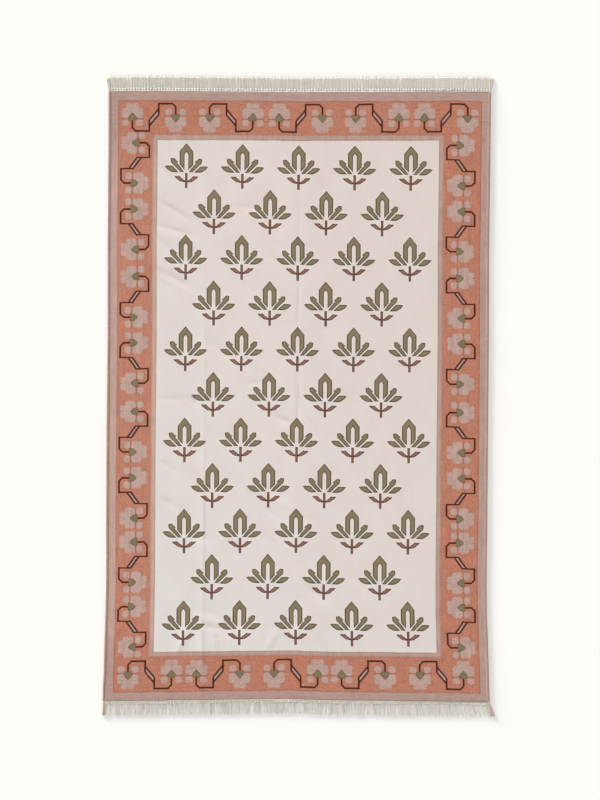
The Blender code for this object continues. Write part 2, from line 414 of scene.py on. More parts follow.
# The middle of each border unit along its strip, and the line that the strip's units stand on
TOP_UNITS, TOP_LINE = (-580.0, -272.5, 5.0, 310.0, 584.0), 1112.0
BOTTOM_UNITS, BOTTOM_LINE = (-579.0, -308.5, -1.0, 266.0, 575.5), -1112.5
SIDE_UNITS = (-921.0, -663.0, -407.0, -143.0, 131.0, 394.0, 662.0, 926.0)
LEFT_LINE, RIGHT_LINE, RIGHT_LEAN, END_STRIPS = -654.5, 652.0, 0.0072, 1053.0
# The sprigs' rows, counted from the first one down; a row reaches ROW_TOP above its middle
ROW_PITCH, SPRIG_PITCH, FIRST_ROW, ROWS, SPRIG_SHIFT = 182.0, 224.0, 889.6, 11, -2.0
ROW_TOP, ROW_TILT, ROW_HALF = 118.0, 0.012, 560.0
print(2 * (len(TOP_UNITS) + len(SIDE_UNITS)), "border units and", ROWS, "rows of sprigs")

# %% [markdown]
# ## Forms of the motifs
# A weaver builds a leaf or a heart from straight steps. Each form here is convex, so that the
# largest of its distances to its sides says how far a place lies outside it. Curves would be
# smoother than the weave allows. Half of a motif is enough where its other half is a mirror image.

# %% Corners of the forms
# Motifs are drawn in pixels of the photograph, UNIT millimetres each. Corners run anticlockwise.
UNIT = 4.0
BUD = ((0, 2.0), (2.0, 2.0), (6.8, 7.4), (6.8, 20.8), (0, 29.0))
BUD_SLOT = ((0, 0), (1.75, 0), (1.75, 17.9), (0, 20.2))
LEAF_HEAD = ((8.0, 9.9), (10.4, 8.3), (15.2, 9.6), (15.7, 13.3), (12.6, 14.0))
LEAF_SHAFT = ((2.2, 0.1), (5.9, -0.1), (15.6, 9.5), (14.5, 12.0), (9.8, 9.6))
LOW_LEAF = ((7.7, -0.2), (14.6, -0.2), (18.9, 2.1), (22.0, 5.7), (14.2, 6.1))
RED_LEAF = (
    (0.8, -9.9), (3.5, -10.1), (6.2, -9.3), (10.2, -6.4), (12.0, -4.2), (6.9, -3.9), (1.9, -8.1),
    (0.8, -9.0),
)
RED_STEM = ((-1, -16.2), (1.3, -16.2), (1.3, -0.8), (-1, -0.8))
END_HEART = ((-1, -3.5), (2.4, -3.5), (4.4, -1.9), (4.4, -0.2), (0.9, 4.2), (0, 5.0), (-1, 5.0))
SIDE_HEART = ((-1, -3.5), (3.4, -3.5), (4.0, -2.8), (3.6, 0.6), (1.0, 3.9), (0, 4.4), (-1, 4.4))
# centre, half size and corner radius of the blocks in half a flower
PETALS = (
    ((3.1, 11.4), (3.4, 3.3), 2.3), ((6.4, 4.3), (4.3, 5.2), 2.9),
    ((2.0, 4.2), (3.4, 5.3), 1.5), ((7.1, -5.5), (3.5, 3.3), 2.6),
)


def inside(place, corners):
    """Signed distance, in pixels, to a convex form: below nought inside it."""
    edges = []
    for (x, y), (next_x, next_y) in zip(corners, corners[1:] + corners[:1]):
        # A side on the mirror line, or behind it, bounds nothing
        if x > 0 or next_x > 0:
            length = sqrt((next_x - x) ** 2 + (next_y - y) ** 2)
            across, up = (next_y - y) / length, (x - next_x) / length
            normal = (across, up, -(across * x + up * y))
            edges.append(place.vector("DOT_PRODUCT", place, normal, output=1))
    return largest(*edges)


def block(place, centre, half, corner):
    """Signed distance to a block with rounded corners."""
    away = place.vector("ABSOLUTE", place.vector("SUBTRACT", place, centre + (1.0,)))
    away = place.vector("SUBTRACT", away, (half[0] - corner, half[1] - corner, 0.0))
    away = place.vector("MAXIMUM", away, (0.0, 0.0, 0.0))
    return place.vector("LENGTH", away, output=1) - corner


def band(x, y, edges):
    """Signed distance to a rectangle: left, right, bottom, top."""
    left, right, bottom, top = edges
    return largest(left - x, x - right, bottom - y, y - top)


print("a red leaf has", len(RED_LEAF), "corners, and half a flower", len(PETALS), "blocks")

# %% [markdown]
# ## The border's unit and the leaf sprig
# A border unit is two flowers, joined by a thin dark vine that steps from one to the other. A sprig
# is a bud between leaves on a red stem. Objects scattered over the cloth could carry them, but they
# are woven in, so each is a formula of the place. It is drawn once and repeated by folding the
# coordinates.


# %% Border unit and sprig
# Measures in pixels on the strips of the ends, where a unit is drawn longer, and on those of the
# sides: where the vine bends, its lowest bar, the heart's place, the two lines that cross the
# middle, the cut corner and the top of the riser
BEND, BAR, HEART_A, HEART_W = (4.7, 5.6), (13.6, 14.3), (21.5, 20.1), (0.0, 1.0)
SLOPE, OFFSET, HALF_CROSSING = (1.234, 0.72), (2.85, 2.05), (1.35, 1.08)
CORNER_CUT, RISER_TOP = (23.0, 22.2), (2.6, 1.4)
# and those that are the same on both
HALF_LINE, STEM_TOP, PARTING_W, HALF_PARTING, PETALS_REACH = 0.90, 3.0, 1.6, 0.40, 11.5


def border_unit(a, w, side):
    """Two flowers joined by a stepped vine. a runs along the strip and w across it, in pixels.
    side is 0 on the strips of the ends and 1 on those of the sides."""
    bend, bar = choose(side, *BEND), choose(side, *BAR)
    heart_a, heart_w = choose(side, *HEART_A), choose(side, *HEART_W)
    offset = choose(side, *OFFSET)
    # Two parallel lines cross the middle, with a pale sliver between them
    rise = abs(w - choose(side, *SLOPE) * a)
    diagonal = largest(abs(rise - offset) - choose(side, *HALF_CROSSING), abs(a) - bend)
    sliver = largest(rise - offset, abs(a) - bend)
    # The other half of the unit is this one turned round
    turn = 1.0 - 2.0 * (a > 0.0)
    a, w = a * turn, w * turn
    corner = (-a - w) * 0.72 - choose(side, *CORNER_CUT)
    stem = abs(largest(-a - heart_a, -w - bar, corner)) - HALF_LINE
    stem = largest(stem, w + STEM_TOP, a + bend - HALF_LINE)
    riser = largest(abs(a + bend) - HALF_LINE, -w - bar - HALF_LINE, w + choose(side, *RISER_TOP))
    place = point(abs(a + heart_a), w + heart_w, 1.0)
    petals = smallest(*(block(place, *petal) for petal in PETALS))
    # A thin dark line parts the upper petals from the lower ones
    parting = abs(w + heart_w + PARTING_W) - HALF_PARTING
    petals = largest(petals, -parting)
    parting = largest(parting, abs(a + heart_a) - PETALS_REACH)
    heart = choose(side, inside(place, END_HEART), inside(place, SIDE_HEART))
    return petals, parting, sliver, smallest(diagonal, stem, riser), heart


def leaf_sprig(x, y):
    """Half of a leaf sprig drawn twice: its olive leaves and its red stem."""
    place = point(abs(x), y, 1.0)
    bud = largest(inside(place, BUD), -inside(place, BUD_SLOT))
    olive = smallest(bud, *(inside(place, form) for form in (LEAF_HEAD, LEAF_SHAFT, LOW_LEAF)))
    red = smallest(*(inside(place, form) for form in (RED_LEAF, RED_STEM)))
    return olive, red


print("border unit and sprig defined")

# %% [markdown]
# ## Places in the weave
# A weaver can change colour only at a warp or a pick, so every place is moved to the middle of its
# cell before a motif is drawn there. The picks aren't quite straight, and the pattern sinks a
# little: `v_woven` and `drift` follow that. A wave on the mesh could do it too, but it would bend
# the edges of the rug as well.

# %% Coordinates of the cloth
WANDER, WANDER_SCALE = 5.0, 0.02
cloth_material, cloth_shader = new_material("woven_cotton")
u, v = (1000.0 * metres for metres in map_of(cloth_material, "design"))
v_woven = v + WANDER * (point(u, v).noise(WANDER_SCALE) - 0.5)


def stepped(x, size):
    """x moved to the middle of its cell of the weave."""
    return (x / size).floor() * size + size / 2


# The pattern sinks a little towards the right in the upper half, and towards the lower end
drift = 0.0015 * u + 0.008 * u * ((v - 200.0) / 500.0).clamp()
low_rows = 4.0 * ((-650.0 - v) / 250.0).clamp()
u_step, v_step = stepped(u, COLUMN), stepped(v_woven, PICK)
print("weave cells of", COLUMN, "by", PICK, "mm")

# %% [markdown]
# ## Where the motifs stand
# The border runs round the rug as two short and two long strips, each with its units at uneven
# distances, as the hand sets them. Every other unit is turned round. The sprigs stand in rows of
# five and four. Repeating a coordinate with a modulo suits the sprigs. The border's units are
# listed one by one, and each place belongs to the nearest.


# %% Strips of the border and rows of sprigs
def nearest(x, centres):
    """The centre nearest to x, and whether its number is odd."""
    pairs = list(zip(centres, centres[1:]))
    passed = [x > (before + after) / 2 for before, after in pairs]
    steps = [past * (after - before) for past, (before, after) in zip(passed, pairs)]
    return sum(steps, centres[0]), sum(passed[1:], passed[0]) % 2.0


top_centre, top_odd = nearest(u, TOP_UNITS)
bottom_centre, bottom_odd = nearest(u, BOTTOM_UNITS)
side_v = v_woven + 0.6 * drift
side_centre, side_odd = nearest(side_v, SIDE_UNITS)
upper, right = v > 0.0, u > 0.0
is_side = abs(v_woven) < END_STRIPS
end_a = stepped(u - choose(upper, bottom_centre, top_centre), COLUMN)
end_flip = 1.0 - 2.0 * choose(upper, 1.0 - bottom_odd, top_odd)
end_w = stepped(v_woven - choose(upper, BOTTOM_LINE, TOP_LINE), PICK)
side_a = stepped(side_centre - side_v, PICK) * (2.0 * side_odd - 1.0)
side_w = stepped(choose(right, LEFT_LINE - u, u - RIGHT_LINE + RIGHT_LEAN * v), COLUMN)
petals, parting, sliver, vine, heart = border_unit(
    choose(is_side, end_a * end_flip, side_a) / UNIT, choose(is_side, end_w, side_w) / UNIT, is_side
)

row_drift = drift + low_rows
row = ((FIRST_ROW + ROW_TOP - v_woven - row_drift) / ROW_PITCH).floor()
odd_row = row % 2.0
sprig_x = (u - SPRIG_SHIFT + SPRIG_PITCH * (0.5 * odd_row + 0.5)) % SPRIG_PITCH - SPRIG_PITCH / 2
sprig_y = v_woven + row_drift + ROW_TILT * sprig_x - FIRST_ROW + ROW_PITCH * row
olive, red = leaf_sprig(stepped(sprig_x, COLUMN) / UNIT, stepped(sprig_y, PICK) / UNIT)
row_end = ROW_HALF - SPRIG_PITCH / 2 * odd_row
in_row = (row > -0.5) * (row < ROWS - 0.5) * (abs(u - SPRIG_SHIFT) < row_end)
print("motifs placed:", len(cloth_material.node_tree.nodes), "nodes so far")

# %% [markdown]
# ## Tones of the dyed yarn
# Hand-dyed yarn varies along each pick, and more so from one part of the rug to another. One noise
# would look like stains, so there are three: streaks along the picks, mottling over a few cells,
# and broad patches. On the left side strip the tone is raised as well: painted light, as if the
# light fell from the left. Each motif goes from a dark edge to a lighter middle, which its own
# distance gives.

# %% Tones
streak = point(u_step * 0.06, v_step * 0.7).noise(1.0, 3.0)
mottle = point(u_step, v_step * 1.6).noise(0.13, 2.0)
patch = point(u, v, 7.0).noise(0.011, 1.0)
# Painted light: the left side strip, fading out towards the ends, is painted lighter
left_painted_light = ((END_STRIPS - abs(v_woven)) / 150.0).clamp() * (u < 0.0)
tone = (0.3 * left_painted_light + (mottle - 0.5) * 3.0 + (streak - 0.5) * 0.9 + 0.5).clamp()
ivory_tone = ((patch - 0.5) * 0.9 + 0.5 - 0.0004 * u - 0.0002 * v).clamp()
leaf_tone = (-1.2 * olive + 0.25 * tone - 0.60).clamp()
stem_tone = (-1.1 * red + 0.2 * tone - 0.55).clamp()
heart_tone = (-0.8 * heart + 0.2 * tone + 0.05).clamp()
print("tones made")

# %% [markdown]
# ## Colours, from the ground up
# Each colour is laid over those before it, with a mask that is 1 inside its form: a signed distance
# below nought. A ramp over a single number could hold all of the colours, but then no two forms
# could overlap. The flowers' edges are soft, because their pale yarn runs a little into the orange.

# %% Colours of the design
bands = [band(u_step, v_step, edges) for edges in BANDS]
in_orange, in_inner_rose, in_field = (distance < 0.0 for distance in bands)
ragged = petals + 3.0 * (streak - 0.5) + 0.15
colour = in_orange.mix(OUTER_ROSE, tone.mix(ORANGE, ORANGE_LIGHT))
colour = in_inner_rose.mix(colour, INNER_ROSE)
colour = (0.16 * (abs(ragged - 0.9) < 0.6)).mix(colour, ORANGE)
colour = (0.5 - 0.9 * ragged).clamp().mix(colour, tone.mix(FLOWER, FLOWER_LIGHT))
colour = (0.42 * (parting < 0.0)).mix(colour, VINE)
colour = (sliver < 0.0).mix(colour, FLOWER)
colour = (vine < 0.0).mix(colour, VINE)
colour = (heart < 0.0).mix(colour, heart_tone.mix(HEART_EDGE, HEART))
colour = in_field.mix(colour, ivory_tone.mix(IVORY_PINK, IVORY_GREY))
colour = ((olive < 0.0) * in_row).mix(colour, leaf_tone.mix(OLIVE_EDGE, OLIVE))
colour = ((red < 0.0) * in_row).mix(colour, stem_tone.mix(BRICK_EDGE, BRICK))
print("colours laid:", len(cloth_material.node_tree.nodes), "nodes so far")

# %% [markdown]
# ## Light and dark in the weave
# Where two colours meet, the turning wefts leave a darker line. The border is streaked along its
# own direction, and the field is much more even. A material for each band would show seams at the
# corners, so one factor shades them all.

# %% Shade
STREAK_SHADE, MOTTLE_SHADE, LEFT_PAINTED_LIGHT, HALO_LIGHT, FIELD_CALM = 0.13, 0.12, 0.19, 0.035, 0.90
END_STRIPES, SIDE_STRIPES, END_LINES, SIDE_LINES = 0.46, 0.32, 0.14, 0.36
JOIN_SHADE, FIELD_JOIN_SHADE, HALF_JOIN = 0.18, 0.12, 2.6
joins = [abs(distance + 1.5) < HALF_JOIN for distance in bands[:2]]
field_join = abs(bands[2] - 2.6) < HALF_JOIN
halo = in_field * in_row * (smallest(olive, red) < 1.1)
stripes = point(choose(is_side, v_step * 0.13, u_step * 0.04), choose(is_side, u_step, v_step) * 0.025)
lines = point(u_step * 0.13, v_step * 0.012 + 40.0)
unevenness = STREAK_SHADE * (streak - 0.5) + MOTTLE_SHADE * (mottle - 0.5)
unevenness = unevenness + choose(is_side, END_STRIPES, SIDE_STRIPES) * (stripes.noise(1.0, 1.0) - 0.5)
unevenness = unevenness + choose(is_side, END_LINES, SIDE_LINES) * (lines.noise(1.0, 1.0) - 0.5)
in_rose = 1.0 - in_orange + in_inner_rose
# Painted light: the rose bands on the left side strip are lightened as well
unevenness = unevenness + LEFT_PAINTED_LIGHT * left_painted_light * in_rose
shade = 1.0 + unevenness * (1.0 - FIELD_CALM * in_field) + HALO_LIGHT * halo
shade = shade - JOIN_SHADE * (joins[0] + joins[1]) - FIELD_JOIN_SHADE * field_join
print("shade made")

# %% [markdown]
# ## The weave's relief
# A pick is a bead where it passes over a warp and is hidden where it passes under, so the beads of
# the next warp lie one pick on. They are too small for the mesh, and a height goes through Bump.

# %% Relief
RELIEF_DEPTH = 0.0007
warp_place = u * (2.0 / COLUMN)
rib = abs((warp_place * pi).sine())
bead = abs((v * (pi / (2 * PICK)) + (pi / 2) * (warp_place.floor() % 2.0)).sine())
relief = rib * (0.45 + 0.55 * bead) + 0.8 * streak
finish_material(cloth_shader, colour.shaded(shade), relief, RELIEF_DEPTH)
print("cloth material:", len(cloth_material.node_tree.nodes), "nodes")

# %% [markdown]
# ## Yarn materials
# The cords are overcast with rose yarn and the fringe is undyed warp. All of them are plied, so
# they share one material with other colours: a tone for each yarn, and a twist that runs round it.
# The twist could be modelled, but the fringe has 2,448 yarns and would be too heavy.

# %% Rose cord and ivory warp
TWIST_DEPTH, WARP_TURN, CORD_TURN = 0.0003, 0.006, 0.009


def yarn_material(name, dark, light, turn, root=0.0, tip=0.0, tip_start=0.9, flank_painted_shade=0.0):
    """Plied yarn: maps `strand` (around, metres along) and `tone` (a number per yarn, share along).
    root and tip are painted shade on its start and, past tip_start, on its end; the flank value is painted
    shade on its two sides."""
    material, shader = new_material(name)
    around, along = map_of(material, "strand")
    tone, share = map_of(material, "tone")
    fibre = point(around * 2.0, along * 160.0, tone * 90.0).noise(1.0, 3.0)
    near_tip = ((share - tip_start) / (1.0 - tip_start)).clamp()
    angle = around * tau
    # Painted shade: the yarn is darkened at its root, past tip_start towards its tip, and on its two
    # flanks
    shade = 1.0 - root * (1.0 - share * 4.0).clamp() - tip * near_tip
    shade = shade - flank_painted_shade * abs(angle.math("COSINE", angle))
    colour = (0.8 * tone + 1.3 * (fibre - 0.5) + 0.1).clamp().mix(dark, light)
    twist = ((around + along / turn) * (2 * tau)).sine()
    finish_material(shader, colour.shaded(shade), twist + 0.6 * fibre, TWIST_DEPTH)
    print(name, len(material.node_tree.nodes), "nodes")
    return material


# Painted shade: the top end's ivory warp is darkened strongly at root and tip, the bottom end's a little,
# the knotted warp towards the ends of its tubes, and the cords and tails on their flanks and tips
IVORY_YARN = yarn_material("ivory_warp", linear(220, 212, 198), linear(250, 244, 234), WARP_TURN,
                           root=0.26, tip=0.70, flank_painted_shade=0.15)
LOWER_YARN = yarn_material("ivory_warp_lower", linear(206, 195, 176), linear(255, 252, 243), WARP_TURN,
                           root=0.05, tip=0.10, flank_painted_shade=0.15)
KNOT_YARN = yarn_material("knotted_warp", linear(187, 179, 167), linear(240, 233, 221), WARP_TURN,
                          root=0.10, tip=0.40, tip_start=0.7)
ROSE_YARN = yarn_material("rose_cord", linear(158, 127, 119), linear(188, 156, 146), CORD_TURN,
                          flank_painted_shade=0.10)
PALE_ROSE_YARN = yarn_material("pale_rose_yarn", linear(196, 172, 160), linear(222, 204, 192), CORD_TURN,
                               tip=0.3)

# %% [markdown]
# ## Making meshes
# Every piece is worked out as arrays and handed over whole, which is much faster than adding
# points one by one. `add_mesh` makes the object with its maps, and `dress` attaches it to the root
# and hides the solids that it stands for.


# %% Objects from arrays
def add_mesh(name, points, faces, maps, material):
    """One object. maps holds, for each map's name, one (u, v) for every corner of the faces."""
    mesh = bpy.data.meshes.new(name)
    mesh.from_pydata([tuple(p) for p in points.tolist()], [], [tuple(f) for f in faces])
    for map_name, corners in maps.items():
        layer = mesh.uv_layers.new(name=map_name)
        layer.data.foreach_set("uv", corners.astype(np.float32).ravel())
    # The ends of the tubes stay flat, so that they do not bend the light along the yarn
    mesh.polygons.foreach_set("use_smooth", [len(face) == 4 for face in faces])
    mesh.materials.append(material)
    mesh.update()
    made = bpy.data.objects.new(name, mesh)
    scene.collection.objects.link(made)
    return made


def dress(piece, slot, *nodes):
    """Attach a piece to the root and hide the solids that it stands for; slot is not used."""
    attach(piece, "root")
    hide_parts(*nodes)
    print(piece.name, len(piece.data.polygons), "faces")
    return piece


def laid(u, v, z):
    """Flat coordinates and heights as points on the floor."""
    x, y = plan(u, v)
    return np.stack([x, y, z], axis=-1)


print("mesh helpers ready")

# %% [markdown]
# ## Tubes
# Cords, knots and yarns are all rows of rings, closed at both ends. A curve with a bevel would give
# round ones, but a knot swells and a cord is pressed flat, so each ring has a width and a
# height of its own. One call makes many yarns.

# %% Tubes
BAKE_MARGIN = 0.06


def tube_points(centres, half_width, half_height, sides, square):
    """Points of the rings round the centres (yarns, rings, 3)."""
    yarns, rings, _ = centres.shape
    tangent = np.gradient(centres, axis=1)
    tangent /= np.linalg.norm(tangent, axis=2, keepdims=True)
    across = np.stack([tangent[..., 1], -tangent[..., 0], np.zeros((yarns, rings))], axis=2)
    across /= np.linalg.norm(across, axis=2, keepdims=True)
    up = np.cross(across, tangent)
    angle = np.arange(sides) * tau / sides + pi / sides
    sideways, upwards = (np.sign(w) * np.abs(w) ** square for w in (np.cos(angle), np.sin(angle)))
    ring = across[:, :, None] * (half_width[..., None, None] * sideways[:, None])
    ring = ring + up[:, :, None] * (half_height[..., None, None] * upwards[:, None])
    return (centres[:, :, None] + ring).reshape(-1, 3)


def tube_faces(yarns, rings, sides):
    """Four-cornered faces between the rings, then the first and the last face of every yarn."""
    start = (np.arange(yarns)[:, None, None] * rings + np.arange(rings - 1)[None, :, None]) * sides
    side = np.arange(sides)[None, None, :]
    after = (side + 1) % sides
    quads = np.stack([start + side, start + after, start + sides + after, start + sides + side], axis=3)
    first = np.arange(yarns)[:, None] * rings * sides + np.arange(sides)[None, :]
    last = first[:, ::-1] + (rings - 1) * sides
    return quads.reshape(-1, 4)[:, ::-1].tolist() + first.tolist() + last.tolist()


def tube_maps(centres, sides, tones):
    """The maps for the corners of tube_faces, in its order."""
    yarns, rings, _ = centres.shape
    length = np.cumsum(np.linalg.norm(np.diff(centres, axis=1), axis=2), axis=1)
    length = np.concatenate([np.zeros((yarns, 1)), length], axis=1)
    quad_yarn = np.repeat(np.arange(yarns), (rings - 1) * sides * 4)
    yarn = np.concatenate([quad_yarn, np.tile(np.repeat(np.arange(yarns), sides), 2)])
    ring_step, side_step = np.array([1, 1, 0, 0]), np.array([0, 1, 1, 0])
    ring = (np.arange(rings - 1)[None, :, None, None] + ring_step).repeat(yarns, 0).repeat(sides, 2)
    side = (np.arange(sides)[None, None, :, None] + side_step).repeat(yarns, 0).repeat(rings - 1, 1)
    ring = np.concatenate([ring.ravel(), np.repeat([0, rings - 1], yarns * sides)])
    first_side, last_side = np.tile(np.arange(sides), yarns), np.tile(np.arange(sides)[::-1], yarns)
    around = np.concatenate([side.ravel(), first_side, last_side]) / sides
    share = ring / (rings - 1)
    columns = int(np.ceil(sqrt(yarns)))
    rows = int(np.ceil(yarns / columns))
    bake_u = (yarn % columns + BAKE_MARGIN + (1 - 2 * BAKE_MARGIN) * around) / columns
    bake_v = (yarn // columns + BAKE_MARGIN + (1 - 2 * BAKE_MARGIN) * share) / rows
    return {
        "OFBake": np.stack([bake_u, bake_v], axis=1),
        "strand": np.stack([around, length[yarn, ring]], axis=1),
        "tone": np.stack([tones[yarn], share], axis=1),
    }


def tubes(name, centres, half_width, half_height, sides, tones, material, square=1.0):
    """Closed tubes: centres (yarns, rings, 3), half sizes (yarns, rings), one tone for each yarn.
    A square under 1 flattens the four sides."""
    points = tube_points(centres, half_width, half_height, sides, square)
    faces = tube_faces(*centres.shape[:2], sides)
    return add_mesh(name, points, faces, tube_maps(centres, sides, tones), material)


print("tube helpers ready")

# %% [markdown]
# ## The cloth
# Cloth is thin but not a plane: its edge casts a shadow and shows its thickness. A plane with a
# Solidify modifier would push the underside into the floor below each groove, and would leave
# square edges. So the face, the underside and a rounded rim are built as one closed sheet, with
# finer lines where the creases run.

# %% Lines and heights of the cloth
# up to, spacing of the lines there
U_LINES = (
    (-0.600, 0.013), (-0.394, 0.0073), (-0.358, 0.0045), (-0.014, 0.0073), (0.022, 0.0045),
    (0.130, 0.0073), (1.0, 0.014),
)
V_LINES = ((-1.050, 0.013), (-0.900, 0.0075), (-0.500, 0.009), (0.900, 0.0078), (2.0, 0.013))
ROUND, EDGE_LINE, LAST_GAP = 0.0012, 0.0016, 0.018


def grid_lines(half, spacings):
    """Lines from -half to half, with one close to each edge."""
    lines = [-half, -half + EDGE_LINE]
    while lines[-1] < half - LAST_GAP:
        lines.append(lines[-1] + next(step for limit, step in spacings if lines[-1] < limit))
    return np.array(lines + [half - EDGE_LINE, half])


us, vs = grid_lines(INNER - ROUND, U_LINES), grid_lines(LENGTH / 2 - ROUND, V_LINES)
grid_u, grid_v = np.meshgrid(us, vs)
face_height = lift(grid_u, grid_v) + wrinkle(grid_u, grid_v)
print("cloth lines:", len(us), "by", len(vs), "highest", round(float(face_height.max()), 5), "m")

# %% [markdown]
# ## Points and faces of the cloth
# The face and the underside have the same lines, and one more ring of points, half way down and a
# little further out, rounds the edge. The underside follows only what lifts it off the floor.

# %% Cloth
FACE_BAKE, UNDER_BAKE, BAKE_EDGE = (0.003, 0.630), (0.645, 0.35), 0.002
face_points = laid(grid_u, grid_v, face_height + THICKNESS).reshape(-1, 3)
under_points = laid(grid_u, grid_v, np.maximum(face_height, 0)).reshape(-1, 3)
total = grid_u.size
number = np.arange(total).reshape(grid_u.shape)
loop = np.concatenate([number[0, :-1], number[:-1, -1], number[-1, :0:-1], number[:0:-1, 0]])
flat = np.stack([grid_u.ravel(), grid_v.ravel()], axis=1)
rim_flat = flat[loop] * np.array([INNER / (INNER - ROUND), (LENGTH / 2) / (LENGTH / 2 - ROUND)])
rim_height = np.maximum(lift(*rim_flat.T) + wrinkle(*rim_flat.T), 0)
rim_points = laid(rim_flat[:, 0], rim_flat[:, 1], rim_height + THICKNESS / 2)

cell_corners = [number[:-1, :-1], number[:-1, 1:], number[1:, 1:], number[1:, :-1]]
cells = np.stack(cell_corners, axis=2).reshape(-1, 4)
loop_after = np.roll(loop, -1)
rim = 2 * total + np.arange(len(loop))
rim_after = np.roll(rim, -1)
upper_rim = np.stack([loop_after, loop, rim, rim_after], axis=1)
lower_rim = np.stack([total + loop, total + loop_after, rim_after, rim], axis=1)
faces = np.concatenate([cells, upper_rim, cells[:, ::-1] + total, lower_rim])

design = np.concatenate([flat, flat, rim_flat])[faces.ravel()]
share = design / np.array([INNER, LENGTH / 2]) / 2 + 0.5
below = np.repeat(np.arange(len(faces)) >= len(cells) + len(loop), 4)
bake_start, bake_width = (np.where(below, *pair) for pair in zip(UNDER_BAKE, FACE_BAKE))
bake_x = bake_start + bake_width * share[:, 0]
bake_y = BAKE_EDGE + (1 - 2 * BAKE_EDGE) * share[:, 1]
maps = {"OFBake": np.stack([bake_x, bake_y], axis=1), "design": design}
all_points = np.concatenate([face_points, under_points, rim_points])
cloth = add_mesh("rug_cloth", all_points, faces.tolist(), maps, cloth_material)
dress(cloth, "woven_cotton", "cloth")

# %% [markdown]
# ## The corded sides
# The selvedge is overcast with rose yarn, a turn every 3 mm, which also grips the cloth's edge. A
# helix of thin yarn would show gaps between its turns. One tube that swells and narrows with every
# turn looks the same and stays closed. It is laid in lengths of 30 turns, so that its tone varies.

# %% Side cords
TURN, TURNS, RINGS_PER_TURN, TURN_SWELL, CORD_SIDES, CORD_SQUARE = 0.003, 30, 3, 0.07, 8, 0.55
CORD_CLEARANCE, CORD_TONE, TONE_CHANGE = 0.0001, {-1: 0.15, 1: 0.80}, 0.12
# Below PARTED_FROM the left cord has parted from the cloth, which leaves a dark slit
PARTED_FROM, PARTED_OVER, PARTED_SHIFT = -1.10, 0.06, 0.0012
lengths = round(LENGTH / (TURN * TURNS))
step = np.arange(TURNS * RINGS_PER_TURN + 1) / (TURNS * RINGS_PER_TURN)
v_ring = -LENGTH / 2 + (np.arange(lengths)[:, None] + step[None, :]) * LENGTH / lengths
swell = 1 - TURN_SWELL * np.cos(tau * TURNS * step)[None, :] * np.ones(v_ring.shape)
for side, side_name in ((-1, "left"), (1, "right")):
    parted = np.clip((PARTED_FROM - v_ring) / PARTED_OVER, 0, 1) if side < 0 else 0 * v_ring
    cord_width = CORD_WIDTH + OVERCAST * (1 - parted)
    u_ring = side * (WIDTH / 2 - cord_width / 2 + PARTED_SHIFT * parted)
    base = np.maximum(lift(u_ring, v_ring) + wrinkle(u_ring, v_ring), 0)
    centres = laid(u_ring, v_ring, base + CORD_TOP / 2 + CORD_CLEARANCE)
    half_width, half_height = cord_width / 2 * swell, (CORD_TOP / 2 - CORD_CLEARANCE) * swell
    tones = CORD_TONE[side] + TONE_CHANGE * np.sin(np.arange(lengths) * 2.4)
    cord = tubes(f"cord_{side_name}", centres, half_width, half_height, CORD_SIDES, tones, ROSE_YARN,
                 CORD_SQUARE)
    dress(cord, "rose_cord", f"side_cord_{side_name}")

# %% [markdown]
# ## The fringe
# At each end the last picks make a narrow heading. Beyond it the warp is knotted in bundles, and
# from each knot nine yarns spread and lean with their neighbours. Hair could give fuller tufts, but
# the hand-over takes meshes. The top end is neat and a little longer, and the bottom one is ragged.

# %% Values of the fringe
HEADING_STEPS, HEADING_SWELL, HEADING_BASE, HEADING_SIDES = 4, 0.08, 0.0002, 6
LOCK_JITTER, KNOT_JITTER, KNOT_RINGS, KNOT_SIDES, KNOT_SQUARE = 0.00035, 0.05, 7, 8, 0.6
# A knot starts over the heading, and its round form is cut off at both ends
KNOTS_START, KNOT_REACH, KNOT_CUT, YARNS_START = 0.7 * HEADING, KNOT + 0.001, 0.12, 0.5 * HEADING
YARNS, YARN_RINGS, YARN_RADIUS, YARN_SIDES, YARN_FLAT = 9, 8, 0.00072, 5, 0.75
# Under the knot, GATHER_FROM of its way out, a lock is WAIST_WIDTH wide; its yarns lie in two layers
WAIST_WIDTH, GATHER_FROM, ROOT_HEIGHT, ROOT_LAYER, TIP_LAYER = 0.0092, 0.13, 0.0016, 0.0010, 0.0011
BOW, SECOND_BOW, CORNER_REACH, SPLAY_FADE = 0.0006, 0.0003, 0.020, 0.070
# side, end, how far the cord's tail and the locks beside it splay outwards
CORNERS = ((-1, 1, 0.007), (1, 1, 0.008), (-1, -1, 0.001), (1, -1, 0.016))
# Sizes, looseness and tones of the two ends, 1 for the top and -1 for the bottom
TIP_WIDTH, LONGER = {1: 0.0104, -1: 0.0074}, {1: (0.006, 0.005), -1: (0.0, 0.0)}
SWAY, SWAY_LENGTH = {1: 0.0016, -1: 0.0036}, {1: 0.210, -1: 0.165}
LOOSE_LOCK, LOOSE_YARN = {1: 0.0009, -1: 0.0026}, {1: 0.0010, -1: 0.0016}
RAGGED_LOCK, RAGGED_YARN = {1: 0.0012, -1: 0.0044}, {1: 0.0007, -1: 0.0024}
# Painted light: the bottom end's heading and knots take higher tones, to offset the shade that falls on
# that end
DRAWN_RIGHT, HEADING_TONE = {1: 0.0, -1: 0.009}, {1: 0.2, -1: 0.5}
KNOT_TONE, KNOT_TONES = {1: 0.0, -1: 0.6}, {1: 0.25, -1: 0.25}
YARN_TONE, YARN_TONES = {1: 0.12, -1: 0.2}, {1: 0.4, -1: 1.0}
YARN_FINISH = {1: IVORY_YARN, -1: LOWER_YARN}
pitch = 2 * INNER / LOCKS
rng = np.random.default_rng(5217)
print("a lock every", round(1000 * pitch, 2), "mm")
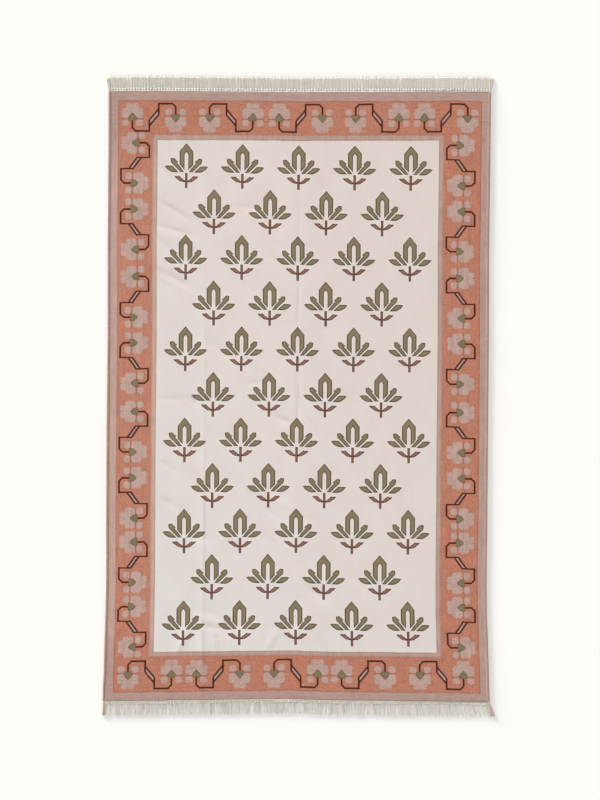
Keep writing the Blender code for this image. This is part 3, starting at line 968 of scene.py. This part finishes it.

# %% [markdown]
# ## Heading and knots
# The heading is one cord that swells between the locks, and each knot is a short flat bead. A real
# knot has crossing strands, but at this size only its rounded form shows; its ends are darkened
# with painted shade.


# %% Heading and knots
def make_heading(end, end_name):
    """The narrow woven end of the cloth, as one cord."""
    steps = np.arange(LOCKS * HEADING_STEPS + 1)
    u_heading = -INNER + steps * pitch / HEADING_STEPS
    v_heading = np.full(len(steps), end * (LENGTH / 2 + GAP + HEADING / 2))
    base = lift(u_heading, np.full(len(steps), end * LENGTH / 2)) + HEADING_BASE
    centres = laid(u_heading, v_heading, base + HEADING_HEIGHT / 2)[None]
    half = 0.5 * (1 - HEADING_SWELL * np.cos(tau * steps / HEADING_STEPS))[None, :]
    heading = tubes(f"heading_{end_name}", centres, half * HEADING, half * HEADING_HEIGHT, HEADING_SIDES,
                    np.array([HEADING_TONE[end]]), KNOT_YARN)
    return dress(heading, "ivory_warp", f"fringe_{end_name}")


def make_knots(end, end_name, centre):
    """One knot at each centre."""
    t = np.linspace(0, 1, KNOT_RINGS)[None, :]
    out = KNOTS_START + KNOT_REACH * t
    form = np.sin(pi * (KNOT_CUT + (1 - 2 * KNOT_CUT) * t)) ** 0.5
    u_knot = centre[:, None] + 0 * t
    size = 1 + rng.normal(0, KNOT_JITTER, (LOCKS, 1))
    centres = laid(u_knot, end * (LENGTH / 2 + out) + 0 * u_knot, KNOT_HEIGHT / 2 * size + 0 * u_knot)
    half_width, half_height = KNOT_WIDTH / 2 * form * size, KNOT_HEIGHT / 2 * form * size
    tones = rng.uniform(0, KNOT_TONES[end], LOCKS) + KNOT_TONE[end]
    knots = tubes(f"knots_{end_name}", centres, half_width, half_height, KNOT_SIDES, tones, KNOT_YARN,
                  KNOT_SQUARE)
    return dress(knots, "ivory_warp", f"fringe_{end_name}")


print("heading and knots defined")

# %% [markdown]
# ## Yarns
# The yarns leave the heading side by side, draw together under the knot and spread again. Each
# follows its lock's lean and adds a little of its own: yarns that don't agree at all look like
# straw, and yarns that agree fully look like a comb.


# %% Yarns of both ends
def splay(side, end):
    return next(amount for s, e, amount in CORNERS if (s, e) == (side, end))


def lock_lean(u, end):
    """How far a lock's tip leans sideways."""
    from_left = np.exp(-(WIDTH / 2 + u) / SPLAY_FADE)
    from_right = np.exp(-(WIDTH / 2 - u) / SPLAY_FADE)
    sway = SWAY[end] * np.sin(tau * u / SWAY_LENGTH[end] + 0.8)
    sway = sway + 0.4 * SWAY[end] * np.sin(tau * u / (SWAY_LENGTH[end] * 0.63))
    sway = sway * (1 - from_left) * (1 - from_right)
    return sway + splay(1, end) * from_right - splay(-1, end) * from_left


def make_yarns(end, end_name, centre):
    """All yarns of one end, YARNS to a lock."""
    lock = np.repeat(np.arange(LOCKS), YARNS)
    many = len(lock)
    t = np.linspace(0, 1, YARN_RINGS)[None, :]
    place = (np.tile(np.arange(YARNS), LOCKS) + 0.5) / YARNS - 0.5
    layer = np.tile(np.arange(YARNS) % 2, LOCKS)[:, None]
    lean = lock_lean(centre, end) + DRAWN_RIGHT[end] * np.clip((centre - 0.25) / 0.4, 0, 1)
    lean = lean + rng.normal(0, LOOSE_LOCK[end], LOCKS)
    waist_u = (centre[lock] + place * WAIST_WIDTH)[:, None]
    tip_u = centre[lock] + place * TIP_WIDTH[end] + lean[lock] + rng.normal(0, LOOSE_YARN[end], many)
    gather = np.clip((t - GATHER_FROM) / (1 - GATHER_FROM), 0, 1) ** 1.3
    bow = rng.normal(0, BOW, (many, 1)) * np.sin(pi * gather)
    bow = bow + rng.normal(0, SECOND_BOW, (many, 1)) * np.sin(tau * gather)
    u_yarn = waist_u * (1 - gather) + tip_u[:, None] * gather + bow
    u_yarn = u_yarn + (t < 0.05) * place[:, None] * (pitch - WAIST_WIDTH)
    ragged = RAGGED_LOCK[end] * np.sin(lock * 2.399) * 0.5 + rng.normal(0, RAGGED_YARN[end], many)
    everywhere, at_corner = LONGER[end]
    longer = everywhere + at_corner * np.exp(-(WIDTH / 2 - np.abs(centre)) / CORNER_REACH)
    reach = FRINGE + longer[lock] + ragged - YARNS_START
    v_yarn = end * (LENGTH / 2 + YARNS_START + reach[:, None] * t)
    high, low = ROOT_HEIGHT + ROOT_LAYER * layer, YARN_RADIUS + TIP_LAYER * layer
    z_yarn = high * (1 - t**0.8) + low * t**0.8
    radius = YARN_RADIUS * (1.06 - 0.10 * t - 0.45 * (t > 0.99)) * np.ones((many, 1))
    own_tones = rng.uniform(0, YARN_TONES[end], many)
    tones = own_tones + rng.uniform(0, 0.6 * YARN_TONES[end], LOCKS)[lock] + YARN_TONE[end]
    yarns = tubes(f"yarns_{end_name}", laid(u_yarn, v_yarn, z_yarn), radius, radius * YARN_FLAT,
                  YARN_SIDES, tones, YARN_FINISH[end])
    return dress(yarns, "ivory_warp", f"fringe_{end_name}")


for end, end_name in ((1, "top"), (-1, "bottom")):
    make_heading(end, end_name)
    centre = -INNER + (np.arange(LOCKS) + 0.5) * pitch + rng.normal(0, LOCK_JITTER, LOCKS)
    make_knots(end, end_name, centre)
    make_yarns(end, end_name, centre)

# %% [markdown]
# ## Tails of the side cords
# At each corner the cord's own strands run out beside the fringe and splay outwards. The cord's
# tube could simply go on, but its strands are loose there, so nine yarns bend along one short table.

# %% Tails of the side cords
# out, share of the splay
TAIL = ((-0.004, 0.0), (0.006, 0.04), (0.017, 0.22), (0.030, 0.50), (0.044, 0.75), (0.058, 1.0))
TAIL_YARNS, TAIL_SIDES, TAIL_RADIUS, TAIL_WIDTH = 9, 6, 0.00095, 0.008
TAIL_LOOSE, TAIL_RAGGED, TAIL_HEIGHT, TAIL_DROP, TAIL_LAYER = 0.0007, 0.02, 0.0023, 0.0013, 0.0009
out, bend = (np.array([row[number] for row in TAIL])[None, :] for number in (0, 1))
place = (np.arange(TAIL_YARNS)[:, None] + 0.5) / TAIL_YARNS - 0.5
z_tail = TAIL_HEIGHT - TAIL_DROP * bend + TAIL_LAYER * (np.arange(TAIL_YARNS)[:, None] % 2)
radius = np.full((TAIL_YARNS, len(TAIL)), TAIL_RADIUS)
for side, end, amount in CORNERS:
    end_name, side_name = {1: "top", -1: "bottom"}[end], {-1: "left", 1: "right"}[side]
    spread = TAIL_WIDTH + (0.003 + 0.5 * amount) * bend
    u_tail = side * (WIDTH / 2 - CORD_WIDTH / 2) + side * amount * bend + place * spread
    u_tail = u_tail + rng.normal(0, TAIL_LOOSE, (TAIL_YARNS, 1)) * bend
    v_tail = end * (LENGTH / 2 + out * (1 + rng.normal(0, TAIL_RAGGED, (TAIL_YARNS, 1))))
    yarn, slot = (KNOT_YARN, "ivory_warp") if end == 1 else (PALE_ROSE_YARN, "rose_cord")
    tail = tubes(f"tail_{end_name}_{side_name}", laid(u_tail, v_tail, z_tail), radius, radius, TAIL_SIDES,
                 rng.uniform(0.1, 0.8, TAIL_YARNS), yarn)
    dress(tail, slot, f"side_cord_{side_name}")
